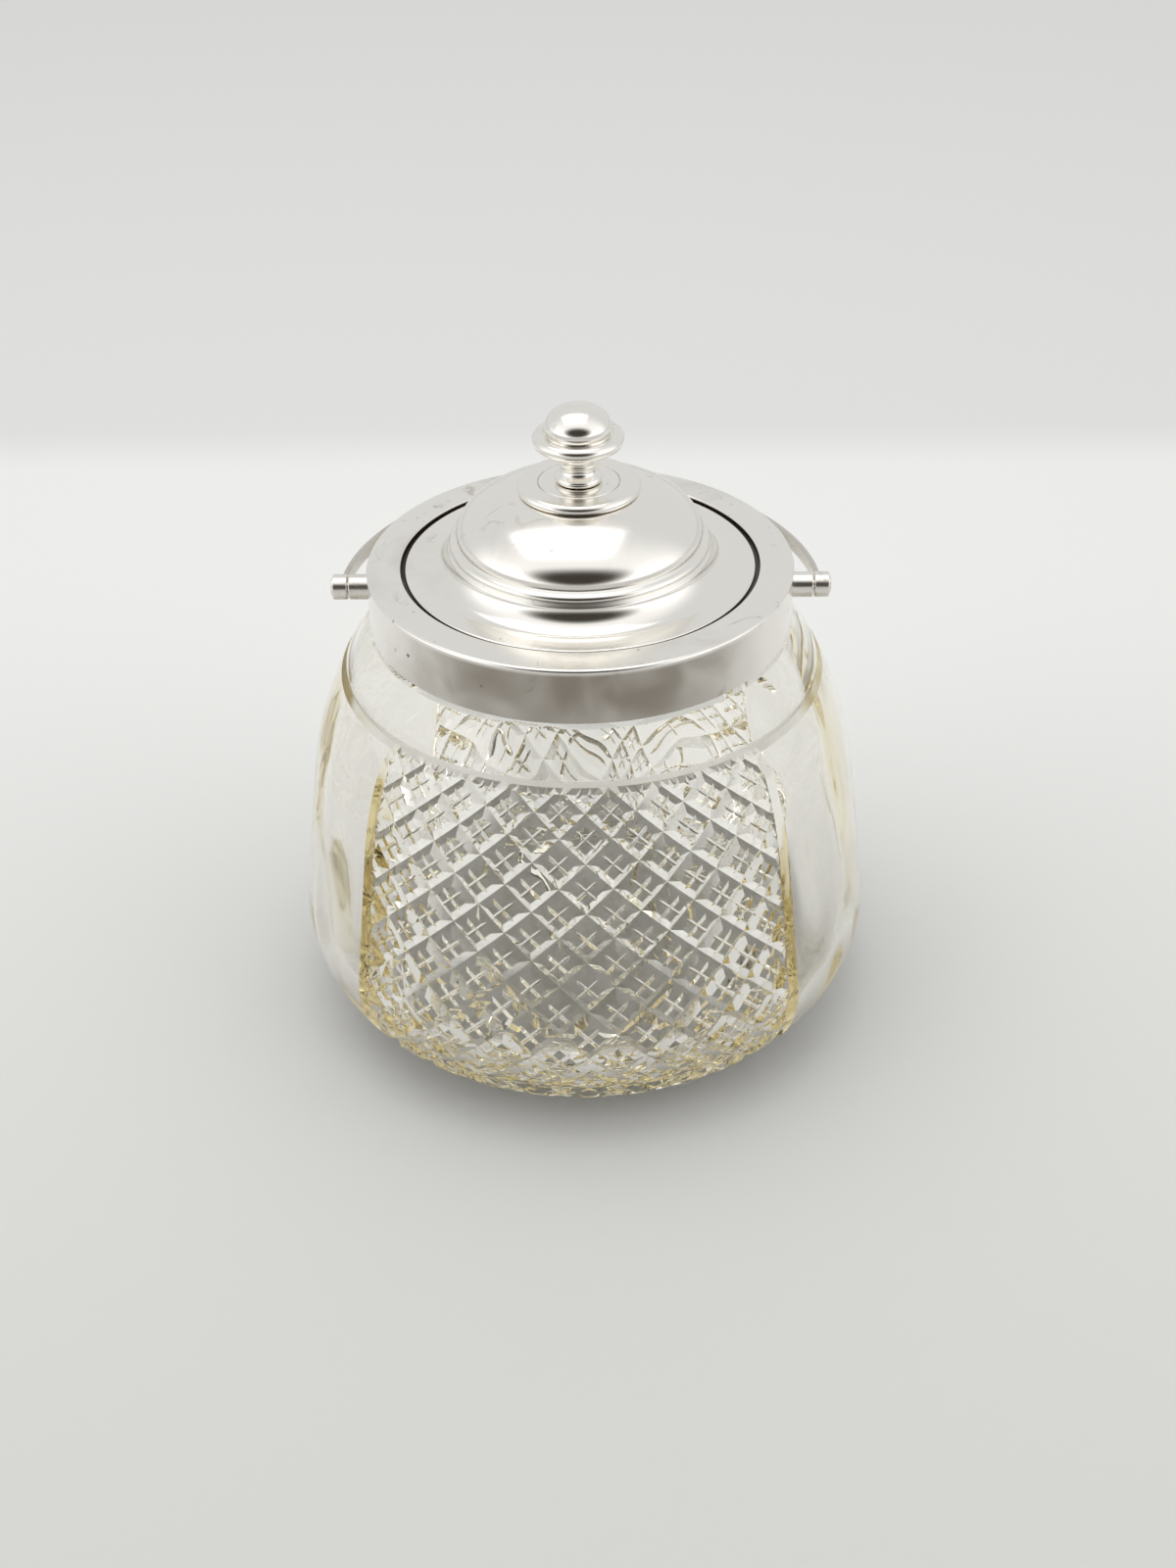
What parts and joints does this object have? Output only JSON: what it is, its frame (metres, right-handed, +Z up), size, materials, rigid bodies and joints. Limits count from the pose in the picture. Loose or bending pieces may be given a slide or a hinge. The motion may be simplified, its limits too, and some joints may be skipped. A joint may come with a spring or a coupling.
{
  "type": "biscuit jar",
  "caption": "Round cut-glass biscuit jar with a silver-plated mount, a lift-off domed lid with a turned knob, and an arched swing handle.",
  "frame": {"origin": "centre of the base on the table plane, on the jar's upright axis", "axes": "+Z up along the jar's axis; the front cut panel faces -Y; the handle's pivots lie on X and the handle rests folded to +Y"},
  "size_m": [0.1548, 0.1548, 0.1701],
  "materials": {
    "glass": "clear heavy glass with a faint olive tint, cut and polished",
    "silver_plate": "polished silver plate with light tarnish and fine wear",
    "brass": "plain turned brass",
    "plaster": "matt bedding plaster"
  },
  "bodies": {
    "jar": {"glass_jar": "glass", "plaster_bed": "plaster", "collar": "silver_plate", "collar_sleeve": "silver_plate", "left_lug": "silver_plate", "right_lug": "silver_plate", "left_pivot_pin": "silver_plate", "right_pivot_pin": "silver_plate"},
    "handle": {"handle_strap": "silver_plate", "left_eye": "silver_plate", "right_eye": "silver_plate"},
    "lid": {"lid_shell": "silver_plate", "lid_skirt": "silver_plate", "knob_plinth": "silver_plate", "knob_foot": "silver_plate", "knob_stem": "silver_plate", "knob_flange": "silver_plate", "knob_ball": "silver_plate", "knob_stud": "brass", "knob_washer": "brass", "knob_nut": "brass"}
  },
  "joints": [
    {"name": "handle_swing", "type": "hinge", "parent": "jar", "child": "handle", "pos_m": [0, 0, 0.1205], "axis": [1, 0, 0], "range_deg": [-15, 205]},
    {"name": "lid_lift", "type": "slide", "parent": "jar", "child": "lid", "axis": [0, 0, 1], "range_m": [0, 0.06]}
  ]
}
